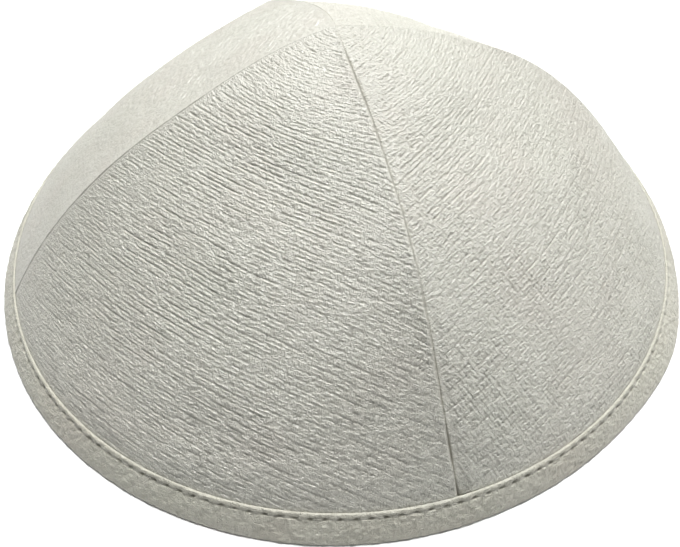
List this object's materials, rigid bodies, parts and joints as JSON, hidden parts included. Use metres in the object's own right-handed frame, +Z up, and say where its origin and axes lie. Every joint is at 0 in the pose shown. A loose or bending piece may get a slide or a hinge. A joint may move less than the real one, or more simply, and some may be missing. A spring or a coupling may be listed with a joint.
{
  "type": "skullcap",
  "caption": "Cloth skullcap (kippah) of sewn panels that meet in a soft point, with a stitched band folded over its rim.",
  "frame": {"origin": "on the surface that the cap stands on, at the middle of its rim, below the tip", "axes": "+Z up through the tip; the seams run down towards -Y, +X, +Y and -X, and -Y is the front"},
  "size_m": [0.1654, 0.1654, 0.061],
  "materials": {
    "cloth": "matte",
    "band_cloth": "matte"
  },
  "bodies": {
    "root": {"panel_front_right": "cloth", "panel_back_right": "cloth", "panel_back_left": "cloth", "panel_front_left": "cloth", "rim_band": "band_cloth"}
  },
  "joints": []
}
